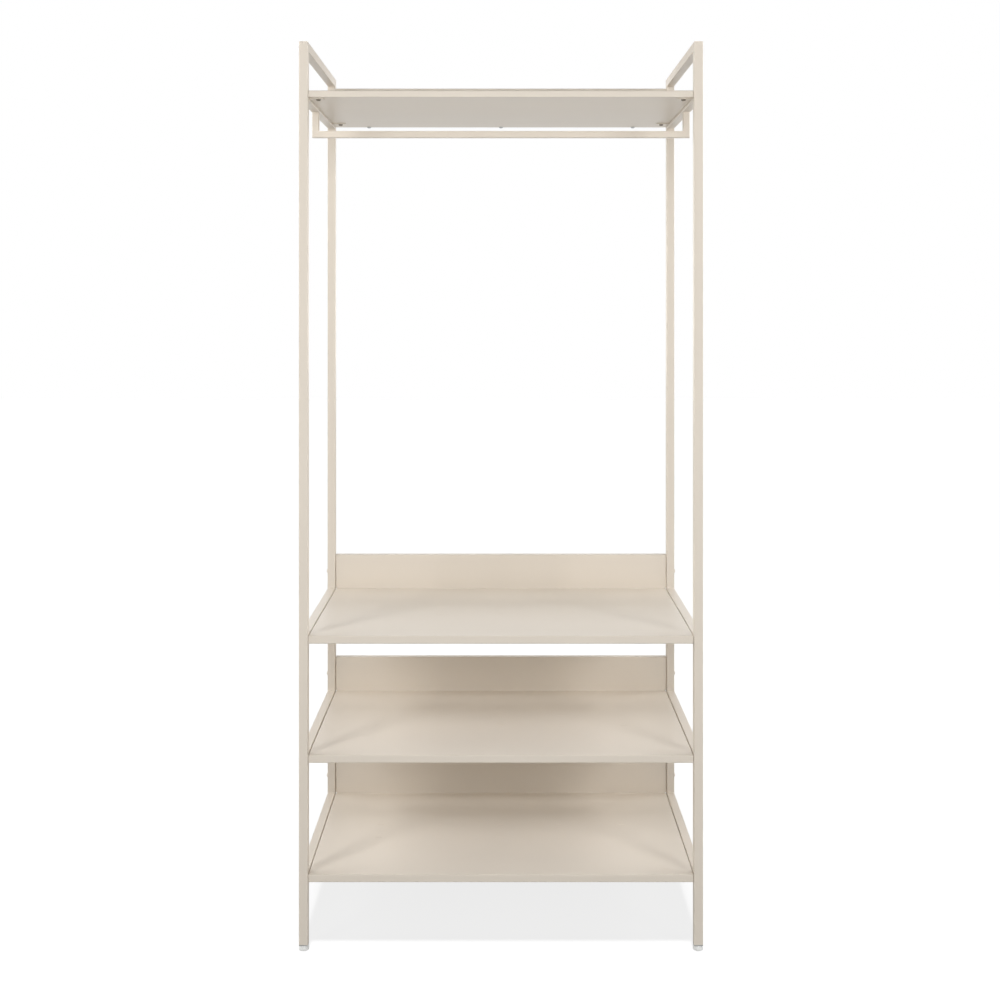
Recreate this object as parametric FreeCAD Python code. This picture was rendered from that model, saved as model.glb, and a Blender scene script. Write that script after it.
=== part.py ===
import FreeCAD, Part
import math
import os

from FreeCAD import Placement, Rotation, Vector

# Open frame wardrobe of powder-coated square tube and folded sheet steel, in millimetres.
# The origin lies on the floor under the middle of the frame: X runs right, Y to the back, Z up.

# Frame
width = 800.0
depth = 450.0
height = 1800.0
tube = 18.0
tube_wall = 1.2
tube_inner_corner = 0.4
cut_overrun = 5.0

# Side rails: top of the lowest one, step up to the next ones, and drop from the frame's top to the hat rail
lower_rail_top = 153.0
shelf_pitch = 236.0
hat_rail_drop = 97.0

# Folded sheet
sheet = 1.2
inner_bend = 1.2
bend_relief = 0.8
shelf_side_gap = 0.3
shelf_setback = 1.0

# Folded shelves with their upstands
shelf_drop = 1.5
lip_lift = 0.5
lip_return = 10.0
upstand_rise = 77.0
upstand_channel = 14.0
stiffener_web = 40.0
stiffener_flange = 14.0
stiffener_lift = 2.0
stiffener_end_gap = 6.0

# Hat shelf, a closed panel on lugs, with a back rail
hat_thickness = 13.0
base_gap = 0.2
lug_thickness = 2.0
lug_width = 22.0
lug_length = 30.0
lug_corner = 6.0
lug_bolt_inset = 18.0
lug_bolt_front = 22.0
lug_bolt_rear = 64.0
back_rail_rise = 75.0
back_rail_screw_spacing = 305.0

# Hanging rail
rail_tube = 14.0
rail_wall = 1.2
rail_setback = 170.0
rail_drop = 54.0
drop_plug_length = 16.0
drop_plug_gap = 0.05

# Bolts and weld nuts: small bolts with nuts at the posts, rails and lugs, large bolts for the hanging rail
small_bolt = 5.0
small_head = 9.5
small_head_height = 2.75
nut_flats = 8.0
nut_height = 4.0
large_bolt = 6.0
large_head = 10.5
large_head_height = 3.3
bolt_clearance = 0.25
thread_play = 0.05
bolt_tip = 1.0
front_bolt_setback = 45.0
upstand_bolt_rise = 38.0
head_rim_share = 0.35
head_crown_share = 0.6

# Levelling feet
pad_diameter = 20.0
pad_height = 10.0
pad_edge = 2.0
pad_chamfer = 0.8
pad_play = 0.1
neck_diameter = 5.0
neck_length = 2.0
button_diameter = 7.0
button_height = 2.0
collar_flats = 13.0
collar_height = 3.0
collar_room = 0.3
foot_gap = 0.3
plug_flange = 2.0
plug_depth = 22.0
plug_gap = 0.05
stud_diameter = 8.0
stud_length = 34.0

# Places worked out from the sizes above
half_width = width / 2
half_depth = depth / 2
middle_rail_top = lower_rail_top + shelf_pitch
upper_rail_top = middle_rail_top + shelf_pitch
hat_rail_top = height - hat_rail_drop
post_x = half_width - tube / 2
post_y = half_depth - tube / 2
collar_base = pad_height - collar_height
button_top = collar_base - neck_length
button_base = button_top - button_height
post_base = pad_height + foot_gap + plug_flange
shelf_half = half_width - tube - shelf_side_gap
shelf_front = -half_depth + shelf_setback
shelf_rear = half_depth - shelf_setback
outer_bend = inner_bend + sheet
upstand_face = shelf_rear - upstand_channel
flange_middle = (upstand_face + outer_bend + shelf_rear) / 2
hat_underside = hat_rail_top - hat_thickness
lug_base = hat_underside - lug_thickness
lug_bolt_x = half_width - tube - lug_bolt_inset
lug_bolt_ys = [-half_depth + lug_bolt_front, half_depth - lug_bolt_rear]
front_bolt_y = -half_depth + front_bolt_setback
rail_y = -half_depth + rail_setback + rail_tube / 2
rail_top_z = hat_rail_top - tube
back_rail_bolt = Vector(0, flange_middle, hat_rail_top + upstand_bolt_rise)
small_hole = small_bolt / 2 + bolt_clearance
large_hole = large_bolt / 2 + bolt_clearance

right = Vector(1, 0, 0)
back = Vector(0, 1, 0)
up = Vector(0, 0, 1)

sides = {"left": -1, "right": 1}
ends = {"front": -1, "rear": 1}
shelf_levels = {"upper": upper_rail_top, "middle": middle_rail_top, "lower": lower_rail_top}


def aim(shape, place, direction):
    """Turns a shape built along Z towards a direction and moves its origin to a place."""
    shape.Placement = Placement(place, Rotation(up, direction))
    return shape


def drilled(shape, radius, points, direction, reach):
    """Drills one round hole through the shape at each point, as far as reach to both sides of it."""
    for point in points:
        drill = Part.makeCylinder(radius, 2 * reach, point - direction * reach, direction)
        shape = shape.cut(drill)
    return shape


def prism(corners, run):
    """Solid with a flat outline through the corners, carried along a vector."""
    outline = Part.makePolygon(corners + corners[:1])
    return Part.Face(outline).extrude(run)


def hexagon(flats, base, run):
    """Hexagonal prism on the Z axis."""
    radius = flats / math.sqrt(3)
    turns = [math.radians(step) for step in range(0, 360, 60)]
    corners = [Vector(radius * math.cos(turn), radius * math.sin(turn), base) for turn in turns]
    return prism(corners, up * run)


def turned(outline):
    """Solid turned about the Z axis from an outline of radius and height pairs."""
    corners = [Vector(radius, 0, level) for radius, level in outline]
    face = Part.Face(Part.makePolygon(corners + corners[:1]))
    return face.revolve(Vector(), up, 360)


def runs_upright(edge):
    """Whether a straight edge runs along Z."""
    return math.isclose(abs(edge.tangentAt(edge.FirstParameter).z), 1)


def rounded_bar(side, length, corner):
    """Square bar along Z with rounded long edges."""
    bar = Part.makeBox(side, side, length, Vector(-side / 2, -side / 2, 0))
    return bar.makeFillet(corner, [edge for edge in bar.Edges if runs_upright(edge)])


def square_tube(start, end, side, wall):
    """Square tube from one point to another, with rounded corners inside and out."""
    run = end - start
    outer = rounded_bar(side, run.Length, tube_inner_corner + wall)
    bore = rounded_bar(side - 2 * wall, run.Length + 2 * cut_overrun, tube_inner_corner)
    bore.translate(up * -cut_overrun)
    return aim(outer.cut(bore), start, run)


def mitre_wedge(corner, away, inward, size, run):
    """Wedge that cuts a tube's end at 45 degrees, from the outer corner of the joint inwards."""
    across = away + inward
    start = corner - across * cut_overrun - run * cut_overrun
    outline = [
        start,
        start + across * (size + 2 * cut_overrun),
        start + away * (size + 2 * cut_overrun),
    ]
    return prism(outline, run * (size + 2 * cut_overrun))


def lies_level(edge, axis, level):
    """Whether both ends of a straight edge lie at one level along an axis."""
    return all(math.isclose(getattr(end.Point, axis), level) for end in edge.Vertexes)


def rounded_block(low, high, square_sides, radius):
    """Block with rounded edges, apart from those around its square sides."""
    size = high - low
    block = Part.makeBox(size.x, size.y, size.z, low)
    planes = {"+y": ("y", high.y), "-z": ("z", low.z), "+z": ("z", high.z)}
    rounded = list(block.Edges)
    for side in square_sides:
        axis, level = planes[side]
        rounded = [edge for edge in rounded if not lies_level(edge, axis, level)]
    return block.makeFillet(radius, rounded)


def folded_pan(low, high, open_sides):
    """Sheet folded into a pan, its corners welded and ground round. Lips end at the open sides."""
    outer = rounded_block(low, high, open_sides, outer_bend)
    inner_low = Vector(low.x + sheet, low.y + sheet, low.z + sheet)
    inner_high = Vector(high.x - sheet, high.y - sheet, high.z - sheet)
    if "-z" in open_sides:
        inner_low.z = low.z - cut_overrun
    if "+y" in open_sides:
        inner_high.y = high.y + cut_overrun
    return outer.cut(rounded_block(inner_low, inner_high, open_sides, inner_bend))


def folded_strip(corners, run):
    """Sheet folded along a path of corners at mid thickness, carried along a vector square to the path."""
    along = Vector(run).normalize()
    middle_bend = inner_bend + sheet / 2
    headings = [(end - start).normalize() for start, end in zip(corners, corners[1:])]
    normals = [along.cross(heading) for heading in headings]

    def side_edges(offset):
        start = corners[0] + normals[0] * offset
        edges = []
        for index in range(1, len(corners) - 1):
            before, after = headings[index - 1], headings[index]
            turn = 1 if along.dot(before.cross(after)) > 0 else -1
            centre = corners[index] - before * middle_bend + normals[index - 1] * (turn * middle_bend)
            bend_start = corners[index] - before * middle_bend + normals[index - 1] * offset
            bend_end = corners[index] + after * middle_bend + normals[index] * offset
            outwards = (corners[index] - centre).normalize()
            bend_middle = centre + outwards * (middle_bend - turn * offset)
            edges.append(Part.LineSegment(start, bend_start).toShape())
            edges.append(Part.Arc(bend_start, bend_middle, bend_end).toShape())
            start = bend_end
        end = corners[-1] + normals[-1] * offset
        edges.append(Part.LineSegment(start, end).toShape())
        return edges, corners[0] + normals[0] * offset, end

    left_edges, left_start, left_end = side_edges(sheet / 2)
    right_edges, right_start, right_end = side_edges(-sheet / 2)
    caps = [
        Part.LineSegment(left_start, right_start).toShape(),
        Part.LineSegment(left_end, right_end).toShape(),
    ]
    outline = Part.Wire(Part.__sortEdges__(left_edges + right_edges + caps))
    return Part.Face(outline).extrude(run)


def front_post(side):
    """Vertical tube at the front, mitred into the top rail."""
    place = Vector(side * post_x, -post_y, post_base)
    post = square_tube(place, Vector(place.x, place.y, height), tube, tube_wall)
    corner = Vector(place.x - tube / 2, -half_depth, height)
    return post.cut(mitre_wedge(corner, back, -up, tube, right))


def rear_post(side):
    """Vertical tube at the back, bored across for the bolts of the upstands and the back rail."""
    place = Vector(side * post_x, post_y, post_base)
    post = square_tube(place, Vector(place.x, place.y, height), tube, tube_wall)
    corner = Vector(place.x - tube / 2, half_depth, height)
    post = post.cut(mitre_wedge(corner, -back, -up, tube, right))
    levels = list(shelf_levels.values()) + [hat_rail_top]
    points = [Vector(place.x, flange_middle, level + upstand_bolt_rise) for level in levels]
    return drilled(post, small_hole, points, right, tube)


def top_rail(side):
    """Tube along the top, mitred into both posts."""
    start = Vector(side * post_x, -half_depth, height - tube / 2)
    rail = square_tube(start, Vector(start.x, half_depth, start.z), tube, tube_wall)
    for direction in ends.values():
        corner = Vector(start.x - tube / 2, direction * half_depth, height)
        rail = rail.cut(mitre_wedge(corner, -up, back * -direction, tube, right))
    return rail


def side_rail(side, rail_top):
    """Tube between the two posts of a side, its top at a shelf's level."""
    start = Vector(side * post_x, -half_depth + tube, rail_top - tube / 2)
    return square_tube(start, Vector(start.x, half_depth - tube, start.z), tube, tube_wall)


def shelf_rail(side, rail_top):
    """Side rail bored across for a folded shelf's front bolt."""
    place = Vector(side * post_x, front_bolt_y, rail_top - tube / 2)
    return drilled(side_rail(side, rail_top), small_hole, [place], right, tube)


def hat_rail(side):
    """Side rail bored upright for the hanging rail's bolt."""
    place = Vector(side * post_x, rail_y, hat_rail_top - tube / 2)
    return drilled(side_rail(side, hat_rail_top), large_hole, [place], up, tube)


def hat_lugs(side):
    """Flat plates welded to the hat rail's inner face, which the hat shelf is screwed to."""
    lugs = []
    inner = half_width - tube
    for bolt_y in lug_bolt_ys:
        low = Vector(inner - lug_length, bolt_y - lug_width / 2, lug_base)
        lug = Part.makeBox(lug_length, lug_width, lug_thickness, low)
        middle = inner - lug_length / 2
        upright_edges = [edge for edge in lug.Edges if runs_upright(edge)]
        free_edges = [edge for edge in upright_edges if edge.CenterOfMass.x < middle]
        lug = lug.makeFillet(lug_corner, free_edges)
        hole = Vector(lug_bolt_x, bolt_y, lug_base)
        lugs.append(drilled(lug, small_hole, [hole], up, lug_thickness + cut_overrun))
    lugs = Part.makeCompound(lugs)
    return lugs if side > 0 else lugs.mirror(Vector(), right)


def shelf_bolt_places(rail_top):
    """Height and depth of the bolts that hold one folded shelf at each side."""
    front = Vector(0, front_bolt_y, rail_top - tube / 2)
    rear = Vector(0, flange_middle, rail_top + upstand_bolt_rise)
    return [front, rear]


def folded_shelf(rail_top):
    """Shelf folded from one sheet: front lip with a return, side lips, and an upstand with its flanges."""
    surface = rail_top - shelf_drop
    underside = rail_top - tube + lip_lift
    flat_half = shelf_half - outer_bend
    pan_rear = upstand_face - inner_bend - bend_relief
    upstand_base = surface + inner_bend + bend_relief
    pan = folded_pan(
        Vector(-shelf_half, shelf_front, underside),
        Vector(shelf_half, pan_rear, surface),
        ["-z", "+y"],
    )
    lip_window = Part.makeBox(
        2 * flat_half,
        sheet + cut_overrun,
        outer_bend + bend_relief + cut_overrun,
        Vector(-flat_half, shelf_front - cut_overrun, underside - cut_overrun),
    )
    lip_middle = shelf_front + sheet / 2
    lip_fold = folded_strip(
        [
            Vector(-flat_half, lip_middle, underside + outer_bend + bend_relief),
            Vector(-flat_half, lip_middle, underside + sheet / 2),
            Vector(-flat_half, shelf_front + lip_return, underside + sheet / 2),
        ],
        right * (2 * flat_half),
    )
    upstand_middle = upstand_face + sheet / 2
    rear_fold = folded_strip(
        [
            Vector(-flat_half, pan_rear, surface - sheet / 2),
            Vector(-flat_half, upstand_middle, surface - sheet / 2),
            Vector(-flat_half, upstand_middle, upstand_base),
        ],
        right * (2 * flat_half),
    )
    upstand = folded_pan(
        Vector(-shelf_half, upstand_face, upstand_base),
        Vector(shelf_half, shelf_rear, rail_top + upstand_rise),
        ["-z", "+y"],
    )
    shelf = pan.cut(lip_window).fuse([lip_fold, rear_fold, upstand]).removeSplitter()
    return drilled(shelf, small_hole, shelf_bolt_places(rail_top), right, half_width)


def shelf_stiffener(rail_top):
    """Top-hat section welded across the underside of a folded shelf."""
    half = shelf_half - sheet - stiffener_end_gap
    flange_level = rail_top - shelf_drop - sheet - sheet / 2
    web_level = rail_top - tube + lip_lift + stiffener_lift + sheet / 2
    web_half = stiffener_web / 2
    reach = web_half + stiffener_flange
    middle = (shelf_front + upstand_face) / 2
    path = [
        Vector(-half, middle - reach, flange_level),
        Vector(-half, middle - web_half, flange_level),
        Vector(-half, middle - web_half, web_level),
        Vector(-half, middle + web_half, web_level),
        Vector(-half, middle + web_half, flange_level),
        Vector(-half, middle + reach, flange_level),
    ]
    return folded_strip(path, right * (2 * half))


def back_rail_screw_points(level):
    """Places of the screws that hold the back rail, at a given height."""
    steps = (-1, 0, 1)
    return [Vector(step * back_rail_screw_spacing, flange_middle, level) for step in steps]


def lug_bolt_points(level):
    """Places of the bolts between lugs and hat shelf, at a given height."""
    places = []
    for side in sides.values():
        for bolt_y in lug_bolt_ys:
            places.append(Vector(side * lug_bolt_x, bolt_y, level))
    return places


def hat_shelf_top():
    """Upper skin of the hat shelf, a pan with lips on all four sides."""
    pan = folded_pan(
        Vector(-shelf_half, shelf_front, hat_underside),
        Vector(shelf_half, shelf_rear, hat_rail_top),
        ["-z"],
    )
    return drilled(pan, small_hole, back_rail_screw_points(hat_rail_top), up, sheet + inner_bend)


def hat_shelf_base():
    """Lower skin of the hat shelf, a plate welded flush between the lips of the pan."""
    inset = sheet + base_gap
    low = Vector(-shelf_half + inset, shelf_front + inset, hat_underside)
    high = Vector(shelf_half - inset, shelf_rear - inset, hat_underside + sheet)
    plate = rounded_block(low, high, ["-z", "+z"], inner_bend)
    holes = lug_bolt_points(hat_underside) + back_rail_screw_points(hat_underside)
    return drilled(plate, small_hole, holes, up, sheet + cut_overrun)


def hat_shelf_back_rail():
    """Folded channel that stands on the rear edge of the hat shelf, open to the back."""
    channel = folded_pan(
        Vector(-shelf_half, upstand_face, hat_rail_top),
        Vector(shelf_half, shelf_rear, hat_rail_top + back_rail_rise),
        ["+y"],
    )
    channel = drilled(channel, small_hole, [back_rail_bolt], right, half_width)
    return drilled(channel, small_hole, back_rail_screw_points(hat_rail_top), up, sheet + inner_bend)


def hanging_bar():
    """Bar that the hangers hook over, mitred into the two drops."""
    low = rail_top_z - rail_drop
    reach = post_x + rail_tube / 2
    start = Vector(-reach, rail_y, low + rail_tube / 2)
    bar = square_tube(start, Vector(reach, start.y, start.z), rail_tube, rail_wall)
    for side in sides.values():
        corner = Vector(side * reach, rail_y - rail_tube / 2, low)
        bar = bar.cut(mitre_wedge(corner, up, right * -side, rail_tube, back))
    return bar


def hanger_drop(side):
    """Short upright tube between the hanging bar and the hat rail."""
    low = rail_top_z - rail_drop
    start = Vector(side * post_x, rail_y, low)
    drop = square_tube(start, Vector(start.x, start.y, rail_top_z), rail_tube, rail_wall)
    corner = Vector(side * (post_x + rail_tube / 2), rail_y - rail_tube / 2, low)
    return drop.cut(mitre_wedge(corner, right * -side, up, rail_tube, back))


def drop_plug(side):
    """Threaded block pressed into the top of a drop."""
    size = rail_tube - 2 * rail_wall - 2 * drop_plug_gap
    block = rounded_bar(size, drop_plug_length, tube_inner_corner)
    block.translate(Vector(side * post_x, rail_y, rail_top_z - drop_plug_length))
    thread = Vector(side * post_x, rail_y, rail_top_z)
    return drilled(block, large_bolt / 2 + thread_play, [thread], up, drop_plug_length + cut_overrun)


def button_bolt(seat, outwards, thread, length, head, head_height):
    """Button-head bolt, its head seated at a place and facing outwards."""
    rim = head_height * head_rim_share
    crown = head / 2 * head_crown_share
    bolt = turned([
        (0, -length),
        (thread / 2, -length),
        (thread / 2, 0),
        (head / 2, 0),
        (head / 2, rim),
        (crown, head_height),
        (0, head_height),
    ])
    return aim(bolt, seat, outwards)


def small_bolt_at(seat, outwards, length):
    """One of the bolts that a weld nut takes."""
    return button_bolt(seat, outwards, small_bolt, length, small_head, small_head_height)


def weld_nut(seat, outwards):
    """Hexagon nut welded to the face at its seat."""
    nut = hexagon(nut_flats, 0, nut_height)
    nut = drilled(nut, small_bolt / 2 + thread_play, [Vector()], up, nut_height + cut_overrun)
    return aim(nut, seat, outwards)


def bolts_through_sides(places):
    """Bolts from outside through the tubes of both side frames."""
    length = tube + shelf_side_gap + sheet + nut_height + bolt_tip
    bolts = []
    for side in sides.values():
        for place in places:
            seat = place + right * (side * half_width)
            bolts.append(small_bolt_at(seat, right * side, length))
    return bolts


def nuts_behind_sides(places):
    """Nuts for these bolts, welded to the inner faces of the lips and flanges."""
    nuts = []
    for side in sides.values():
        for place in places:
            seat = place + right * (side * (shelf_half - sheet))
            nuts.append(weld_nut(seat, right * -side))
    return nuts


def hat_shelf_bolts():
    """Bolts from below through the lugs into the hat shelf."""
    length = lug_thickness + sheet + nut_height + bolt_tip
    return [small_bolt_at(seat, -up, length) for seat in lug_bolt_points(lug_base)]


def hat_shelf_nuts():
    """Nuts for these bolts, welded inside the closed panel."""
    return [weld_nut(seat, up) for seat in lug_bolt_points(hat_underside + sheet)]


def back_rail_screws():
    """Screws from below through both skins of the hat shelf into the back rail."""
    length = hat_thickness + sheet + nut_height + bolt_tip
    return [small_bolt_at(seat, -up, length) for seat in back_rail_screw_points(hat_underside)]


def back_rail_nuts():
    """Nuts of the back rail, welded inside its foot and its end flanges."""
    nuts = [weld_nut(seat, up) for seat in back_rail_screw_points(hat_rail_top + sheet)]
    return nuts + nuts_behind_sides([back_rail_bolt])


def hanger_bolts():
    """Bolts from above through the hat rails into the plugs of the hanging rail."""
    length = tube + drop_plug_length
    seats = [Vector(side * post_x, rail_y, hat_rail_top) for side in sides.values()]
    return [button_bolt(seat, up, large_bolt, length, large_head, large_head_height) for seat in seats]


def foot_plug(place):
    """Plastic plug in a post's end, with a flange under the tube and a thread for the stud."""
    flange = rounded_bar(tube, plug_flange, tube_inner_corner + tube_wall)
    flange.translate(place + up * (post_base - plug_flange))
    body = rounded_bar(tube - 2 * tube_wall - 2 * plug_gap, plug_depth, tube_inner_corner)
    body.translate(place + up * post_base)
    plug = flange.fuse(body).removeSplitter()
    thread = [place + up * post_base]
    return drilled(plug, stud_diameter / 2 + thread_play, thread, up, plug_depth + cut_overrun)


def foot_stud(place):
    """Levelling stud: threaded shank, hexagon collar, and a necked button that snaps into the pad."""
    shank = turned([
        (0, button_base),
        (button_diameter / 2, button_base),
        (button_diameter / 2, button_top),
        (neck_diameter / 2, button_top),
        (neck_diameter / 2, collar_base),
        (stud_diameter / 2, collar_base),
        (stud_diameter / 2, collar_base + stud_length),
        (0, collar_base + stud_length),
    ])
    stud = shank.fuse(hexagon(collar_flats, collar_base, collar_height)).removeSplitter()
    stud.translate(place)
    return stud


def foot_pad(place):
    """Round plastic pad that stands on the floor, hollow for the stud's button and sunk for its collar."""
    radius = pad_diameter / 2
    sink_radius = collar_flats / math.sqrt(3) + collar_room
    sink_level = collar_base - pad_play
    disc = turned([
        (0, 0),
        (radius - pad_edge, 0),
        (radius, pad_edge),
        (radius, pad_height - pad_chamfer),
        (radius - pad_chamfer, pad_height),
        (0, pad_height),
    ])
    hollow = turned([
        (0, button_base - pad_play),
        (button_diameter / 2 + pad_play, button_base - pad_play),
        (button_diameter / 2 + pad_play, button_top + pad_play),
        (neck_diameter / 2 + pad_play, button_top + pad_play),
        (neck_diameter / 2 + pad_play, sink_level),
        (sink_radius, sink_level),
        (sink_radius, pad_height + cut_overrun),
        (0, pad_height + cut_overrun),
    ])
    pad = disc.cut(hollow)
    pad.translate(place)
    return pad


parts = {}
for name, side in sides.items():
    parts[name + "_front_post"] = front_post(side)
    parts[name + "_rear_post"] = rear_post(side)
    parts[name + "_top_rail"] = top_rail(side)
    parts[name + "_hat_rail"] = hat_rail(side)
    parts[name + "_hat_lugs"] = hat_lugs(side)
    parts[name + "_hanger_drop"] = hanger_drop(side)
    parts[name + "_drop_plug"] = drop_plug(side)
    for level, rail_top in shelf_levels.items():
        parts[name + "_" + level + "_rail"] = shelf_rail(side, rail_top)
    for end, direction in ends.items():
        foot = name + "_" + end + "_foot"
        place = Vector(side * post_x, direction * post_y, 0)
        parts[foot + "_plug"] = foot_plug(place)
        parts[foot + "_stud"] = foot_stud(place)
        parts[foot + "_pad"] = foot_pad(place)

for level, rail_top in shelf_levels.items():
    parts[level + "_shelf"] = folded_shelf(rail_top)
    parts[level + "_shelf_stiffener"] = shelf_stiffener(rail_top)
    places = shelf_bolt_places(rail_top)
    parts[level + "_shelf_bolts"] = Part.makeCompound(bolts_through_sides(places))
    parts[level + "_shelf_nuts"] = Part.makeCompound(nuts_behind_sides(places))

parts["hat_shelf_top"] = hat_shelf_top()
parts["hat_shelf_base"] = hat_shelf_base()
parts["hat_shelf_back_rail"] = hat_shelf_back_rail()
parts["hat_shelf_bolts"] = Part.makeCompound(hat_shelf_bolts())
parts["hat_shelf_nuts"] = Part.makeCompound(hat_shelf_nuts())
parts["back_rail_bolts"] = Part.makeCompound(bolts_through_sides([back_rail_bolt]))
parts["back_rail_screws"] = Part.makeCompound(back_rail_screws())
parts["back_rail_nuts"] = Part.makeCompound(back_rail_nuts())
parts["hanging_bar"] = hanging_bar()
parts["hanger_bolts"] = Part.makeCompound(hanger_bolts())

os.makedirs("parts", exist_ok=True)
for name, shape in parts.items():
    shape.exportStep("parts/" + name + ".step")
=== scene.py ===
import math

import bmesh
import bpy
from mathutils import Matrix, Vector


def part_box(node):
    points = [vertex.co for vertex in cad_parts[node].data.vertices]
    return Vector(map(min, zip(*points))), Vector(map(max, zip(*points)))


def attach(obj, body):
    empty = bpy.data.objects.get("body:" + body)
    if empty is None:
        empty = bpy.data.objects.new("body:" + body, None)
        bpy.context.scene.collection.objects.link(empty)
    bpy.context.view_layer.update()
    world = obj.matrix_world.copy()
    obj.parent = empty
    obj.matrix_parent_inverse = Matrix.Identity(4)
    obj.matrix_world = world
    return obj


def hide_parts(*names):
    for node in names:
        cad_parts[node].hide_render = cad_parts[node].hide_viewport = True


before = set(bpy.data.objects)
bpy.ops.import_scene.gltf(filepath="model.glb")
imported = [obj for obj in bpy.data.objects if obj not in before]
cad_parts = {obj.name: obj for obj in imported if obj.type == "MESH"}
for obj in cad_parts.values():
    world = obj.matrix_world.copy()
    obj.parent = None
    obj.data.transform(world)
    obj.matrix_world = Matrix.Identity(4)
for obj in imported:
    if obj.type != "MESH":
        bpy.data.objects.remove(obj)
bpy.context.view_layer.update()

# Side frames: square steel tube, mitred at the top corners, welded, ground flush on the outer faces and
# powder coated as one piece. Each has two posts, a top rail, a hat rail with lugs and three shelf rails.
beige = (0.76, 0.69, 0.60)
sides = ("left", "right")
rails = ("top_rail", "hat_rail", "upper_rail", "middle_rail", "lower_rail")


def noise(tree, scale, detail):
    """Adds a noise on the piece's own coordinates, with features of about 1 / scale metres."""
    place = tree.nodes.new("ShaderNodeTexCoord")
    pattern = tree.nodes.new("ShaderNodeTexNoise")
    pattern.inputs["Scale"].default_value = scale
    pattern.inputs["Detail"].default_value = detail
    tree.links.new(place.outputs["Object"], pattern.inputs["Vector"])
    return pattern


def tint_with(tree, pattern, colour, change):
    """Lets a colour go darker and lighter with a pattern, by a share of itself."""
    tint = tree.nodes.new("ShaderNodeMix")
    tint.data_type = "RGBA"
    tint.inputs["A"].default_value = (*[c * (1 - change) for c in colour], 1)
    tint.inputs["B"].default_value = (*[min(1, c * (1 + change)) for c in colour], 1)
    tree.links.new(pattern.outputs["Fac"], tint.inputs["Factor"])
    tree.links.new(tint.outputs["Result"], tree.nodes["Principled BSDF"].inputs["Base Color"])


def gloss_with(tree, pattern, low, high):
    """Lets the roughness go from low to high with a pattern."""
    gloss = tree.nodes.new("ShaderNodeMapRange")
    gloss.inputs["To Min"].default_value = low
    gloss.inputs["To Max"].default_value = high
    tree.links.new(pattern.outputs["Fac"], gloss.inputs["Value"])
    tree.links.new(gloss.outputs["Result"], tree.nodes["Principled BSDF"].inputs["Roughness"])


def relief_with(tree, pattern, strength, distance, under=None):
    """Raises the surface with a pattern, on top of another relief if one lies under it."""
    relief = tree.nodes.new("ShaderNodeBump")
    relief.inputs["Strength"].default_value = strength
    relief.inputs["Distance"].default_value = distance
    tree.links.new(pattern.outputs["Fac"], relief.inputs["Height"])
    if under:
        tree.links.new(under.outputs["Normal"], relief.inputs["Normal"])
    tree.links.new(relief.outputs["Normal"], tree.nodes["Principled BSDF"].inputs["Normal"])
    return relief


def powder_coat(name, colour):
    """Matt baked powder coat: orange peel of about 2 mm, fine grain, slight changes in film thickness."""
    coat = bpy.data.materials.new(name)
    coat.use_nodes = True
    tree = coat.node_tree
    film = noise(tree, scale=9, detail=3)
    tint_with(tree, film, colour, change=0.015)
    grain = noise(tree, scale=1500, detail=2)
    gloss_with(tree, grain, low=0.36, high=0.46)
    peel = noise(tree, scale=480, detail=1)
    ripple = relief_with(tree, peel, strength=0.35, distance=0.00012)
    relief_with(tree, grain, strength=0.25, distance=0.00004, under=ripple)
    return coat


def dress(piece, material):
    """Gives a piece one material all over."""
    piece.data.materials.clear()
    piece.data.materials.append(material)


def dress_nodes(material, *names):
    """Gives CAD nodes one material all over."""
    for name in names:
        dress(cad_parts[name], material)


coat = powder_coat("beige_powder_coat", beige)
for side in sides:
    dress_nodes(coat, f"{side}_front_post", f"{side}_rear_post", f"{side}_hat_lugs")
    dress_nodes(coat, *[f"{side}_{rail}" for rail in rails])

# Welds of the side frames: a short bead laid by hand in each inner corner between a rail and a post, left
# as it is because only the outer faces are ground. Steel, under the same coat as the tubes.
bead_radius = 0.0017
bead_length = 0.015
bead_sides = 16
bead_ripples = 9
ripple_step = bead_length / (2 * bead_ripples)
ripple_share = 0.90
bead_end_share = 0.6
bead_smooth_angle = 60
end_facing = 0.99
level_slack = 1e-6


def alone(piece):
    """Makes a piece the only one selected."""
    bpy.ops.object.select_all(action="DESELECT")
    piece.select_set(True)
    bpy.context.view_layer.objects.active = piece


def start_rod(corners, radius, low, high):
    """Adds a rod on the Z axis between two levels and opens it for editing."""
    bpy.ops.object.select_all(action="DESELECT")
    bpy.ops.mesh.primitive_cylinder_add(vertices=corners, radius=radius, depth=high - low,
                                        location=(0, 0, (low + high) / 2))
    bpy.ops.object.transform_apply(location=True, rotation=False, scale=False)
    bpy.ops.object.mode_set(mode="EDIT")
    return bpy.context.object


def pick_end(piece, way):
    """Selects in edit mode the flat end of a rod that faces up (1) or down (-1)."""
    bpy.ops.mesh.select_mode(type="FACE")
    bpy.ops.mesh.select_all(action="DESELECT")
    skin = bmesh.from_edit_mesh(piece.data)
    skin.normal_update()
    ends = [face for face in skin.faces if face.normal.z * way > end_facing]
    furthest = max(face.calc_center_median().z * way for face in ends)
    for face in ends:
        face.select_set(face.calc_center_median().z * way > furthest - level_slack)
    bmesh.update_edit_mesh(piece.data)


def draw_out(step, scale):
    """Extrudes the selected end along the Z axis and scales its new rim about that axis."""
    bpy.ops.mesh.extrude_region_move(TRANSFORM_OT_translate={"value": (0, 0, step)})
    bpy.ops.transform.resize(value=(scale, scale, 1), center_override=(0, 0, 0))


def close_up(piece, name, smooth_angle):
    """Ends the editing of a piece, names it and smooths it below an angle in degrees."""
    bpy.ops.object.mode_set(mode="OBJECT")
    piece.name = piece.data.name = name
    alone(piece)
    bpy.ops.object.shade_smooth_by_angle(angle=math.radians(smooth_angle))


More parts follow.
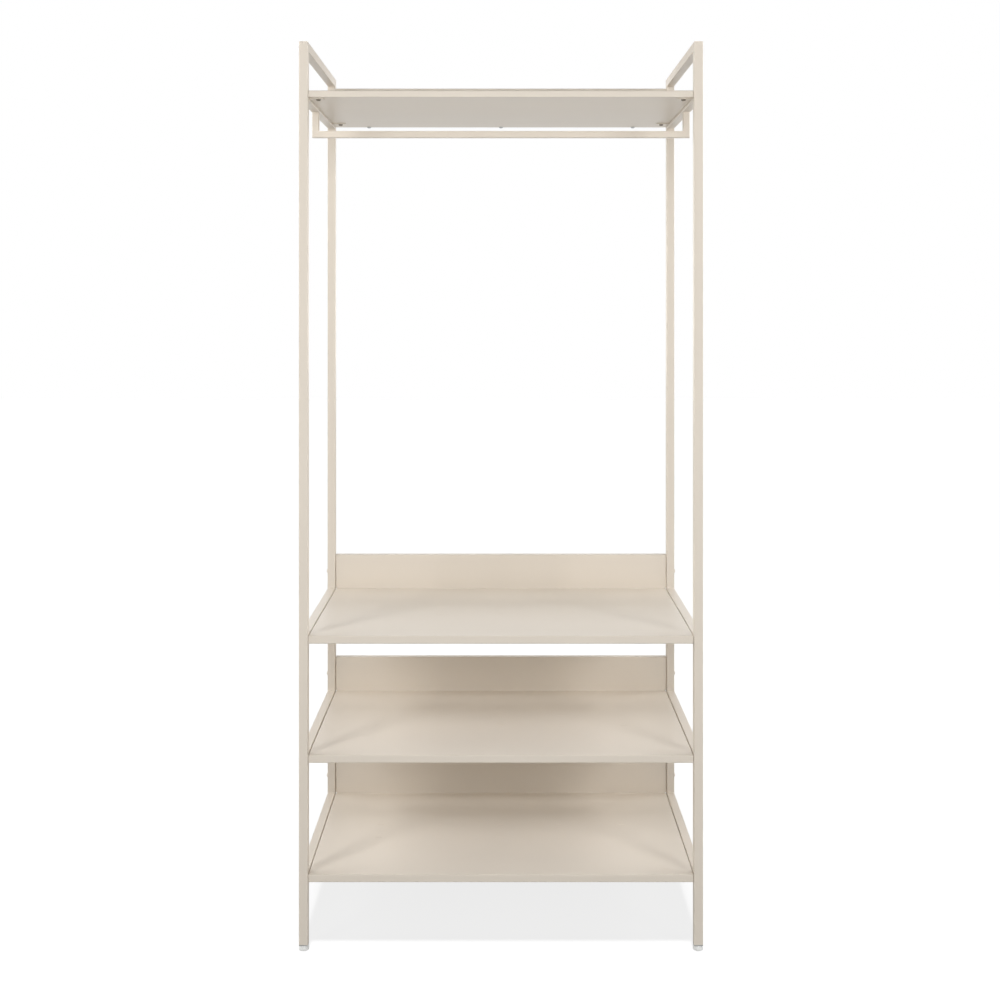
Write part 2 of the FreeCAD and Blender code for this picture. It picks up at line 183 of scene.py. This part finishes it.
def set_copies(model, name, places):
    """Copies a model to its places, each copy with its own mesh, and joins the copies into one piece."""
    bpy.ops.object.select_all(action="DESELECT")
    for place in places:
        copy = model.copy()
        copy.data = model.data.copy()
        copy.data.transform(place)
        bpy.context.scene.collection.objects.link(copy)
        copy.select_set(True)
        bpy.context.view_layer.objects.active = copy
    if len(places) > 1:
        bpy.ops.object.join()
    piece = bpy.context.object
    piece.name = piece.data.name = name
    return piece


bead = start_rod(bead_sides, bead_radius, -bead_length / 2 + ripple_step, -bead_length / 2 + 2 * ripple_step)
pick_end(bead, -1)
draw_out(-ripple_step, bead_end_share)
pick_end(bead, 1)
for ripple in range(bead_ripples - 1):
    draw_out(ripple_step, ripple_share)
    draw_out(ripple_step, 1 / ripple_share)
draw_out(ripple_step, bead_end_share)
close_up(bead, "weld_bead", bead_smooth_angle)

along_x = Matrix.Rotation(math.pi / 2, 4, "Y")
for side in sides:
    corners = []
    front_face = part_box(f"{side}_front_post")[1].y
    rear_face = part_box(f"{side}_rear_post")[0].y
    for rail in rails:
        low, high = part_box(f"{side}_{rail}")
        levels = (low.z,) if rail == "top_rail" else (low.z, high.z)
        corners += [((low.x + high.x) / 2, y, z) for y in (front_face, rear_face) for z in levels]
    places = [Matrix.Translation(corner) @ along_x for corner in corners]
    welds = set_copies(bead, f"{side}_frame_welds", places)
    dress(welds, coat)
    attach(welds, "frame")

# Hat shelf: a pan of thin sheet with its edges turned down, closed below by a base plate, and a folded
# channel along its rear edge that ties it to the rear posts. All coated like the frames.
dress_nodes(coat, "hat_shelf_top", "hat_shelf_base", "hat_shelf_back_rail")

# Hanging rail: a slimmer square tube, mitred into two drops and welded. A threaded plug in each drop takes
# the bolt that comes down through the hat rail. The inner corners of the mitres carry a short bead.
dress_nodes(coat, "hanging_bar", "left_hanger_drop", "right_hanger_drop")
bar_low, bar_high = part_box("hanging_bar")
bar_y = (bar_low.y + bar_high.y) / 2
drop_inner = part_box("right_hanger_drop")[0].x
bar_bead_scale = 0.7
along_y = Matrix.Rotation(math.pi / 2, 4, "X")
bar_bead = Matrix.Scale(bar_bead_scale, 4) @ along_y
places = [Matrix.Translation((x, bar_y, bar_high.z)) @ bar_bead for x in (-drop_inner, drop_inner)]
hanger_welds = set_copies(bead, "hanger_welds", places)
dress(hanger_welds, coat)
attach(hanger_welds, "frame")

# Folded shelves: each is one sheet with a front lip and its return, side lips, and an upstand with a top
# return and side flanges. A top-hat stiffener is tacked along both edges to the underside before coating.
shelves = ("upper", "middle", "lower")
tack_spacing = 0.13
tacks = 5
tack_row = [(i - (tacks - 1) / 2) * tack_spacing for i in range(tacks)]
for shelf in shelves:
    dress_nodes(coat, f"{shelf}_shelf", f"{shelf}_shelf_stiffener")
    low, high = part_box(f"{shelf}_shelf_stiffener")
    spots = [(x, y, high.z) for x in tack_row for y in (low.y, high.y)]
    places = [Matrix.Translation(spot) @ along_x for spot in spots]
    tack_welds = set_copies(bead, f"{shelf}_stiffener_welds", places)
    dress(tack_welds, coat)
    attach(tack_welds, "frame")
bpy.data.objects.remove(bead)

# Side bolts: button-head bolts with a hexagon socket, driven from outside through the rails and the rear
# posts. Their heads are coated to match the frames. The weld nut takes the threaded end.
small_bolt = {"head": 0.0095, "height": 0.00275, "crown": 0.004,
              "shank": 0.005, "pitch": 0.0008, "key": 0.003}
side_thread = 0.008
bolt_sides = 32
head_rim_share = 0.25
dome_steps = 5
thread_root_share = 0.82
socket_share = 0.6
hexagon_sides = 6
bolt_smooth_angle = 40
fastener_reach = 0.05
end_reach = 0.0025


def button_bolt(name, length, thread_length, head, height, crown, shank, pitch, key):
    """Button-head bolt on the Z axis with its seat at zero: domed head above it, threaded shank below."""
    level, radius = height * head_rim_share, head / 2
    bolt = start_rod(bolt_sides, radius, 0, level)
    pick_end(bolt, 1)
    for step in range(1, dome_steps + 1):
        turn = math.radians(90 * step / dome_steps)
        next_radius = crown / 2 + (head - crown) / 2 * math.cos(turn)
        next_level = height * (head_rim_share + (1 - head_rim_share) * math.sin(turn))
        draw_out(next_level - level, next_radius / radius)
        level, radius = next_level, next_radius
    pick_end(bolt, -1)
    bpy.ops.mesh.inset(thickness=(head - shank) / 2, depth=0)
    turns = int(thread_length / pitch)
    draw_out(-(length - turns * pitch), 1)
    for turn in range(turns):
        draw_out(-pitch / 2, thread_root_share)
        draw_out(-pitch / 2, 1 if turn == turns - 1 else 1 / thread_root_share)
    bpy.ops.object.mode_set(mode="OBJECT")
    bpy.ops.object.select_all(action="DESELECT")
    bpy.ops.mesh.primitive_cylinder_add(vertices=hexagon_sides, radius=key / math.sqrt(3),
                                        depth=2 * height * socket_share, location=(0, 0, height))
    hexagon = bpy.context.object
    socket = bolt.modifiers.new("socket", "BOOLEAN")
    socket.operation = "DIFFERENCE"
    socket.object = hexagon
    alone(bolt)
    bpy.ops.object.modifier_apply(modifier="socket")
    bpy.data.objects.remove(hexagon)
    close_up(bolt, name, bolt_smooth_angle)
    return bolt


def fasteners(node):
    """Finds each fastener of a CAD group as its box, the axis it lies along and which way its head points.

    Points that lie close together are one fastener, and its wider end is the head."""
    groups = []
    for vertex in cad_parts[node].data.vertices:
        for group in groups:
            if (group[0] - vertex.co).length < fastener_reach:
                group.append(vertex.co)
                break
        else:
            groups.append([vertex.co])
    found = []
    for group in groups:
        low = Vector([min(point[i] for point in group) for i in range(3)])
        high = Vector([max(point[i] for point in group) for i in range(3)])
        axis = max(range(3), key=lambda i: high[i] - low[i])
        across = (axis + 1) % 3
        centre = (low[across] + high[across]) / 2
        width_low = max(abs(p[across] - centre) for p in group if p[axis] < low[axis] + end_reach)
        width_high = max(abs(p[across] - centre) for p in group if p[axis] > high[axis] - end_reach)
        found.append((low, high, axis, 1 if width_high > width_low else -1))
    return found


def bolt_places(node, height):
    """Gives the place of each bolt of a CAD group, and the length of the shortest one under its head."""
    places, lengths = [], []
    for low, high, axis, way in fasteners(node):
        out = Vector((0, 0, 0))
        out[axis] = way
        seat = (low + high) / 2
        seat[axis] = (high if way > 0 else low)[axis] - way * height
        turn = Vector((0, 0, 1)).rotation_difference(out).to_matrix().to_4x4()
        places.append(Matrix.Translation(seat) @ turn)
        lengths.append(high[axis] - low[axis] - height)
    return places, min(lengths)


for group in [f"{shelf}_shelf_bolts" for shelf in shelves] + ["back_rail_bolts"]:
    places, length = bolt_places(group, small_bolt["height"])
    bolt = button_bolt("side_bolt", length, side_thread, **small_bolt)
    bolts = set_copies(bolt, f"{group}_detailed", places)
    bpy.data.objects.remove(bolt)
    dress(bolts, coat)
    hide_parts(group)
    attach(bolts, "frame")

# Weld nuts: hexagon nuts on the inner faces of the lips and flanges, welded before coating, so they carry
# the coat. Those closed up inside the hat shelf, and the threaded plugs in the drops, stay zinc plated.
dress_nodes(coat, *[f"{shelf}_shelf_nuts" for shelf in shelves], "back_rail_nuts")


def plated_steel(name, colour, rough, cloud):
    """Plated or blackened steel: clouded colour and fine drawing marks in the gloss."""
    metal = bpy.data.materials.new(name)
    metal.use_nodes = True
    tree = metal.node_tree
    tree.nodes["Principled BSDF"].inputs["Metallic"].default_value = 1
    clouds = noise(tree, scale=260, detail=4)
    tint_with(tree, clouds, colour, change=cloud)
    marks = noise(tree, scale=2200, detail=2)
    mark_change = 0.08
    gloss_with(tree, marks, low=rough - mark_change, high=rough + mark_change)
    relief_with(tree, marks, strength=0.2, distance=0.00003)
    return metal


zinc = plated_steel("zinc_plate", (0.60, 0.60, 0.61), rough=0.36, cloud=0.06)
dress_nodes(zinc, "hat_shelf_nuts", "left_drop_plug", "right_drop_plug")

# Hat shelf bolts: blackened button-head bolts that come up through the lugs into nuts inside the panel.
# Three plated ones go up through the panel's rear edge into the back rail, and two more go down through the
# hat rails into the hanging rail.
large_bolt = {"head": 0.0105, "height": 0.0033, "crown": 0.0046,
              "shank": 0.006, "pitch": 0.001, "key": 0.004}
panel_thread = 0.006
black = plated_steel("blackened_steel", (0.30, 0.265, 0.215), rough=0.5, cloud=0.12)
for group, slot, metal, sizes in (
    ("hat_shelf_bolts", "dark_bolt", black, small_bolt),
    ("back_rail_screws", "plain_steel", zinc, small_bolt),
    ("hanger_bolts", "plain_steel", zinc, large_bolt),
):
    places, length = bolt_places(group, sizes["height"])
    bolt = button_bolt("panel_bolt", length, panel_thread, **sizes)
    bolts = set_copies(bolt, f"{group}_detailed", places)
    bpy.data.objects.remove(bolt)
    dress(bolts, metal)
    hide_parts(group)
    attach(bolts, "frame")

# Levelling feet: a moulded plug pushed into each post, a plated stud with a hexagon collar that screws into
# it, and a moulded pad that swivels on the stud's button. The collar sits in a sink in the pad's top.
feet = [f"{side}_{end}" for side in sides for end in ("front", "rear")]


def moulded_plastic(name, colour):
    """Moulded plastic with a spark-eroded skin: even colour, slight flow marks, fine pitted gloss."""
    plastic = bpy.data.materials.new(name)
    plastic.use_nodes = True
    tree = plastic.node_tree
    flow = noise(tree, scale=120, detail=2)
    flow.inputs["Distortion"].default_value = 0.6
    tint_with(tree, flow, colour, change=0.03)
    pits = noise(tree, scale=2600, detail=1)
    gloss_with(tree, pits, low=0.42, high=0.58)
    relief_with(tree, pits, strength=0.3, distance=0.00003)
    return plastic


def pick_rim(piece, level):
    """Selects in edit mode the edges that lie at one level."""
    bpy.ops.mesh.select_mode(type="EDGE")
    bpy.ops.mesh.select_all(action="DESELECT")
    skin = bmesh.from_edit_mesh(piece.data)
    for edge in skin.edges:
        edge.select_set(all(abs(corner.co.z - level) < level_slack for corner in edge.verts))
    bmesh.update_edit_mesh(piece.data)


grey_plastic = moulded_plastic("grey_plug_plastic", (0.42, 0.41, 0.40))
white_plastic = moulded_plastic("white_pad_plastic", (0.92, 0.925, 0.91))
dress_nodes(grey_plastic, *[f"{foot}_foot_plug" for foot in feet])

pad_sides = 64
pad_radius, pad_height = 0.010, 0.010
pad_sole_round, pad_top_round = 0.002, 0.0008
sink_radius, sink_depth = 0.0078, 0.0031
neck_hole, button_hole = 0.0026, 0.0036
button_floor, button_roof = 0.0029, 0.0051
pad_smooth_angle = 35
pad = start_rod(pad_sides, pad_radius, 0, pad_height)
pick_rim(pad, 0)
bpy.ops.mesh.bevel(offset=pad_sole_round, segments=6, affect="EDGES")
pick_rim(pad, pad_height)
bpy.ops.mesh.bevel(offset=pad_top_round, segments=3, affect="EDGES")
pick_end(pad, 1)
bpy.ops.mesh.inset(thickness=pad_radius - pad_top_round - sink_radius, depth=0)
draw_out(-sink_depth, 1)
bpy.ops.mesh.inset(thickness=sink_radius - neck_hole, depth=0)
draw_out(button_roof - (pad_height - sink_depth), 1)
draw_out(0, button_hole / neck_hole)
draw_out(button_floor - button_roof, 1)
close_up(pad, "foot_pad", pad_smooth_angle)

stud_sides = 32
stud_radius, stud_root = 0.004, 0.0034
stud_pitch = 0.00125
stud_top = 0.041
neck_radius, button_radius = 0.0025, 0.0035
button_low, button_high = 0.003, 0.005
collar_flats = 0.013
collar_low, collar_high = 0.007, 0.010
collar_chamfer = 0.0004
collar_overlap = 0.001
neck_top = collar_low + collar_overlap
thread_low = collar_high + collar_overlap
stud_smooth_angle, collar_smooth_angle = 40, 20
stud = start_rod(stud_sides, button_radius, button_low, button_high)
pick_end(stud, 1)
bpy.ops.mesh.inset(thickness=button_radius - neck_radius, depth=0)
draw_out(neck_top - button_high, 1)
draw_out(0, stud_radius / neck_radius)
draw_out(thread_low - neck_top, 1)
turns = int((stud_top - thread_low) / stud_pitch)
for turn in range(turns):
    draw_out(stud_pitch / 2, stud_root / stud_radius)
    draw_out(stud_pitch / 2, 1 if turn == turns - 1 else stud_radius / stud_root)
close_up(stud, "foot_stud", stud_smooth_angle)
collar = start_rod(hexagon_sides, collar_flats / math.sqrt(3), collar_low, collar_high)
for level in (collar_high, collar_low):
    pick_rim(collar, level)
    bpy.ops.mesh.bevel(offset=collar_chamfer, segments=2, affect="EDGES")
close_up(collar, "foot_collar", collar_smooth_angle)
union = stud.modifiers.new("collar", "BOOLEAN")
union.operation = "UNION"
union.object = collar
alone(stud)
bpy.ops.object.modifier_apply(modifier="collar")
bpy.data.objects.remove(collar)
alone(stud)
bpy.ops.object.shade_smooth_by_angle(angle=math.radians(stud_smooth_angle))

foot_parts = (("pad", pad, white_plastic, "foot_pad"), ("stud", stud, zinc, "zinc_stud"))
for foot in feet:
    low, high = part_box(f"{foot}_foot_pad")
    place = Matrix.Translation(((low.x + high.x) / 2, (low.y + high.y) / 2, low.z))
    for part, model, material, slot in foot_parts:
        piece = set_copies(model, f"{foot}_{part}_detailed", [place])
        dress(piece, material)
        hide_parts(f"{foot}_foot_{part}")
        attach(piece, f"{foot}_{part}")
bpy.data.objects.remove(pad)
bpy.data.objects.remove(stud)

# Stage: a pale floor without an edge in a white surround, lit by soft boxes. The floor throws no light back
# at the wardrobe, and its shadow comes from a light of its own that falls on nothing else. The surround
# reads as white, and its light on the wardrobe is weaker, as from a far studio wall.
floor_size = 30
bpy.ops.object.select_all(action="DESELECT")
bpy.ops.mesh.primitive_plane_add(size=floor_size, location=(0, 0, 0))
floor = bpy.context.object
floor.name = "floor"
floor.visible_diffuse = False
floor.visible_glossy = False
floor.visible_shadow = False
paper = bpy.data.materials.new("pale_floor")
paper.use_nodes = True
paper_shader = paper.node_tree.nodes["Principled BSDF"]
paper_shader.inputs["Base Color"].default_value = (0.05, 0.05, 0.05, 1)
paper_shader.inputs["Roughness"].default_value = 0.9
paper_shader.inputs["Specular IOR Level"].default_value = 0
paper_shader.inputs["Emission Color"].default_value = (1, 1, 1, 1)
paper_shader.inputs["Emission Strength"].default_value = 0.81
dress(floor, paper)

overhead = bpy.data.lights.new("floor_light", "SUN")
overhead.energy = 13
overhead.angle = math.radians(7)
floor_light = bpy.data.objects.new("floor_light", overhead)
floor_light.rotation_euler = (math.radians(17), 0, 0)
bpy.context.scene.collection.objects.link(floor_light)
floor_only = bpy.data.collections.new("floor_only")
floor_only.objects.link(floor)
floor_light.light_linking.receiver_collection = floor_only

world = bpy.data.worlds.new("white_surround")
bpy.context.scene.world = world
world.use_nodes = True
nodes, links = world.node_tree.nodes, world.node_tree.links
outlook = nodes.new("ShaderNodeTexCoord")
upward = nodes.new("ShaderNodeSeparateXYZ")
links.new(outlook.outputs["Generated"], upward.inputs["Vector"])
wall_strength = nodes.new("ShaderNodeMapRange")
wall_strength.inputs["From Min"].default_value = -0.1
wall_strength.inputs["From Max"].default_value = 0.1
wall_strength.inputs["To Min"].default_value = 0.47
wall_strength.inputs["To Max"].default_value = 0.04
links.new(upward.outputs["Z"], wall_strength.inputs["Value"])
wall_light = nodes["Background"]
wall_light.inputs["Color"].default_value = (1, 0.99, 0.965, 1)
links.new(wall_strength.outputs["Result"], wall_light.inputs["Strength"])
wall = nodes.new("ShaderNodeBackground")
wall.inputs["Color"].default_value = (1, 1, 1, 1)
seen = nodes.new("ShaderNodeLightPath")
surround = nodes.new("ShaderNodeMixShader")
links.new(seen.outputs["Is Camera Ray"], surround.inputs["Fac"])
links.new(wall_light.outputs["Background"], surround.inputs[1])
links.new(wall.outputs["Background"], surround.inputs[2])
links.new(surround.outputs["Shader"], nodes["World Output"].inputs["Surface"])


def soft_box(name, place, target, size, watts, reflects=True):
    """Rectangular area light, of a width and a height, that faces a point."""
    lamp = bpy.data.lights.new(name, "AREA")
    lamp.shape = "RECTANGLE"
    lamp.size, lamp.size_y = size
    lamp.energy = watts
    box = bpy.data.objects.new(name, lamp)
    box.visible_camera = False
    box.visible_glossy = reflects
    bpy.context.scene.collection.objects.link(box)
    box.location = place
    box.rotation_euler = (Vector(target) - Vector(place)).to_track_quat("-Z", "Y").to_euler()


middle = (0, 0, 0.9)
soft_box("key_left", (-2.2, -2.65, 2.2), middle, size=(0.8, 1.8), watts=46, reflects=False)
soft_box("key_right", (2.2, -2.65, 1.8), middle, size=(0.8, 1.0), watts=36, reflects=False)
soft_box("front_fill", (0, -3.0, 2.15), (0, 0, 1.3), size=(0.8, 0.4), watts=5.5)
soft_box("front_low", (0, -3.0, 0.7), (0, 0, 0.6), size=(1.2, 0.6), watts=8)
soft_box("side_left", (-2.6, 0.3, 2.2), middle, size=(2.4, 1.6), watts=51)
soft_box("side_right", (2.6, 0.3, 2.2), middle, size=(2.4, 1.6), watts=49)
soft_box("low_left", (-2.8, -1.0, 1.0), middle, size=(1.6, 1.2), watts=4.5)
soft_box("low_right", (2.8, -1.0, 1.0), middle, size=(1.6, 1.2), watts=4.5)
soft_box("back_wall", (0, 3.4, 1.65), (0, 0, 1.65), size=(6.4, 1.5), watts=50)

# Camera: level and straight on, at chest height, as for a furniture catalogue. The lens is shifted down
# rather than tilted, so that the posts stay upright in the picture.
lens = bpy.data.cameras.new("camera")
lens.lens = 47.38
lens.sensor_width = 36
lens.shift_x = -0.00095
lens.shift_y = -0.1949
camera = bpy.data.objects.new("camera", lens)
camera.location = (0, -2.828, 1.278)
camera.rotation_euler = (math.pi / 2, 0, 0)
bpy.context.scene.collection.objects.link(camera)
bpy.context.scene.camera = camera
bpy.context.scene.view_settings.view_transform = "Standard"
